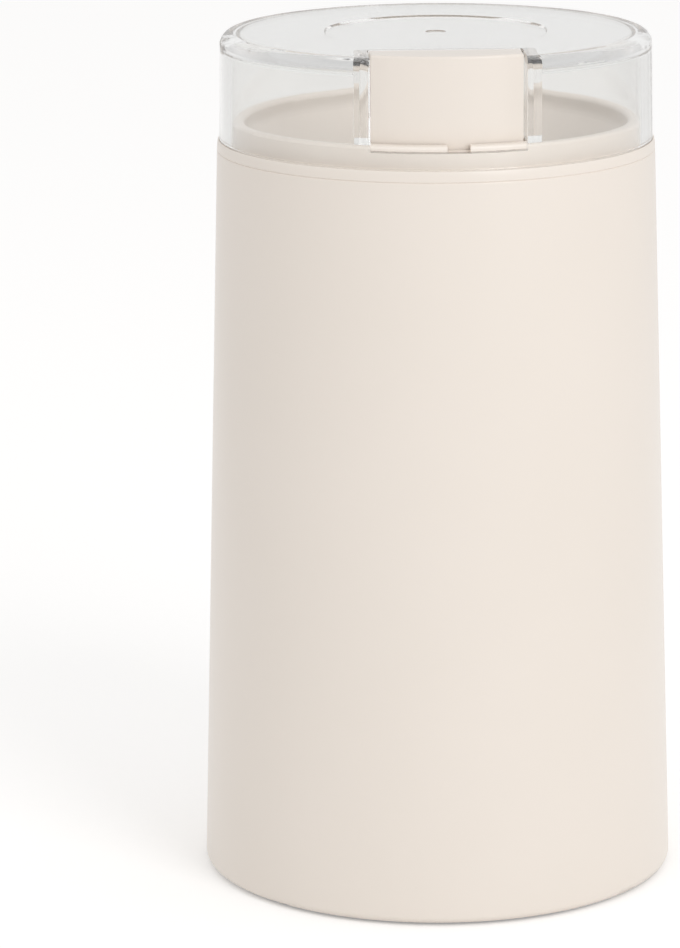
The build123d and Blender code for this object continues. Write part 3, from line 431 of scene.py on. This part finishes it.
def floorLift(tree, place, values):
    # What the camera sees of the floor, itself, mirrored or through the lid, is lifted, and not the
    # light that the floor throws on the object
    rays = addNode(tree, "LightPath")
    across = addNode(tree, "SeparateXYZ", links={"Vector": place})
    offMiddle = addNode(tree, "Math", {"operation": "ABSOLUTE"}, {0: across.outputs["X"]})
    sides = addNode(tree, "MapRange", {"From Min": values["sideNear"], "From Max": values["sideFar"],
                                       "To Min": values["floorLift"], "To Max": values["sideLift"]},
                    {"Value": offMiddle.outputs["Value"]})
    indirect = addNode(tree, "Math", {"operation": "MAXIMUM"},
                       {0: rays.outputs["Is Glossy Ray"], 1: rays.outputs["Is Transmission Ray"]})
    lift = addNode(tree, "MapRange", links={"Value": indirect.outputs["Value"],
                                            "To Max": sides.outputs["Result"]})
    seen = addNode(tree, "MapRange", {"To Max": values["floorLift"]},
                   {"Value": rays.outputs["Is Camera Ray"], "To Min": lift.outputs["Result"]})
    return seen.outputs["Result"]


def makeRoom(values):
    world = bpy.data.worlds.new("paleRoom")
    bpy.context.scene.world = world
    world.use_nodes = True
    tree = world.node_tree
    tree.nodes.clear()
    rays = addNode(tree, "LightPath")
    skyPlace = addNode(tree, "TexCoord").outputs["Generated"]
    direction = addNode(tree, "SeparateXYZ", links={"Vector": skyPlace})
    walls = addNode(tree, "MapRange", {"To Min": values["mirroredLow"], "To Max": values["mirroredHigh"]},
                    {"Value": direction.outputs["Z"]})
    ceiling = addNode(tree, "MapRange", {"From Min": values["ceilingLow"], "From Max": values["ceilingHigh"],
                                         "To Min": values["seen"], "To Max": values["ceiling"]},
                      {"Value": direction.outputs["Z"]})
    mirrored = addNode(tree, "MapRange", {"To Min": values["fill"]},
                       {"Value": rays.outputs["Is Glossy Ray"], "To Max": walls.outputs["Result"]})
    through = addNode(tree, "MapRange", links={
        "Value": rays.outputs["Is Transmission Ray"], "To Min": mirrored.outputs["Result"],
        "To Max": ceiling.outputs["Result"]})
    level = addNode(tree, "MapRange", {"To Max": values["seen"]},
                    {"Value": rays.outputs["Is Camera Ray"], "To Min": through.outputs["Result"]})
    light = addNode(tree, "Background", {"Color": (1, 1, 1, 1)}, {"Strength": level.outputs["Result"]})
    addNode(tree, "OutputWorld", links={"Surface": light.outputs["Background"]})

    material, tree, shader, place = startMaterial("paperFloor", {
        "Roughness": 0.9, "Specular IOR Level": 0.0, "Emission Color": (1, 1, 1, 1)})
    fibre = addNode(tree, "TexNoise", {"Scale": perMm(values["fibreMm"]), "Detail": 3.0},
                    {"Vector": place})
    colour = addNode(tree, "Mix", {"data_type": "RGBA", 6: hexColour(values["floorShade"]),
                                   7: hexColour(values["floorLight"])}, {0: fibre.outputs["Fac"]})
    tree.links.new(colour.outputs[2], shader.inputs["Base Color"])
    tree.links.new(floorLift(tree, place, values), shader.inputs["Emission Strength"])

    sheet = bmesh.new()
    bmesh.ops.create_grid(sheet, x_segments=1, y_segments=1, size=values["floorSize"] / 2)
    mesh = bpy.data.meshes.new("floor")
    sheet.to_mesh(mesh)
    sheet.free()
    mesh.materials.append(material)
    floor = bpy.data.objects.new("floor", mesh)
    bpy.context.scene.collection.objects.link(floor)


# Angles in degrees round from the front and up from the floor, distances and sizes in metres, power in
# watts; aim is the height that the lamp points at
lampValues = {
    "keyLamp": {"angle": 30.0, "height": 30.0, "distance": 1.3, "width": 0.5, "tall": 1.1, "power": 4.3,
                "aim": 0.08},
}


def makeLamps(lamps):
    for name, values in lamps.items():
        data = bpy.data.lights.new(name, "AREA")
        data.shape = "RECTANGLE"
        data.size = values["width"]
        data.size_y = values["tall"]
        data.energy = values["power"]
        lamp = bpy.data.objects.new(name, data)
        turn = Matrix.Rotation(math.radians(values["angle"]), 4, "Z")
        lean = Matrix.Rotation(math.radians(90 - values["height"]), 4, "X")
        middle = Matrix.Translation((0, 0, values["aim"]))
        lamp.matrix_world = middle @ turn @ lean @ Matrix.Translation((0, 0, values["distance"]))
        bpy.context.scene.collection.objects.link(lamp)


# Distances in metres, angles in degrees, lens and sensor in millimetres; turn is where the camera
# stands round the object
cameraValues = {"distance": 0.88535, "height": 0.28966, "turn": -3.6, "aside": 1.2481, "down": 13.3708,
                "roll": -0.4091, "lens": 172.90, "sensor": 36.0, "nearest": 0.01, "farthest": 50.0}


def makeCamera(values):
    data = bpy.data.cameras.new("frontCamera")
    data.lens = values["lens"]
    data.sensor_width = values["sensor"]
    data.clip_start = values["nearest"]
    data.clip_end = values["farthest"]
    camera = bpy.data.objects.new("frontCamera", data)
    turn = Matrix.Rotation(math.radians(values["turn"]), 4, "Z")
    stand = Matrix.Translation((0, -values["distance"], values["height"]))
    aside = Matrix.Rotation(math.radians(values["aside"]), 4, "Z")
    down = Matrix.Rotation(math.radians(90 - values["down"]), 4, "X")
    roll = Matrix.Rotation(math.radians(values["roll"]), 4, "Z")
    camera.matrix_world = turn @ stand @ aside @ down @ roll
    bpy.context.scene.collection.objects.link(camera)
    bpy.context.scene.camera = camera


makeRoom(roomValues)
makeLamps(lampValues)
makeCamera(cameraValues)
# The clear lid has many walls one behind another, so light bounces more often than by default
bounceValues = {"all": 96, "glossy": 48, "transmission": 96}
bpy.context.scene.cycles.max_bounces = bounceValues["all"]
bpy.context.scene.cycles.glossy_bounces = bounceValues["glossy"]
bpy.context.scene.cycles.transmission_bounces = bounceValues["transmission"]
bpy.context.scene.view_settings.view_transform = "Standard"
print("room, lamps and camera ready")
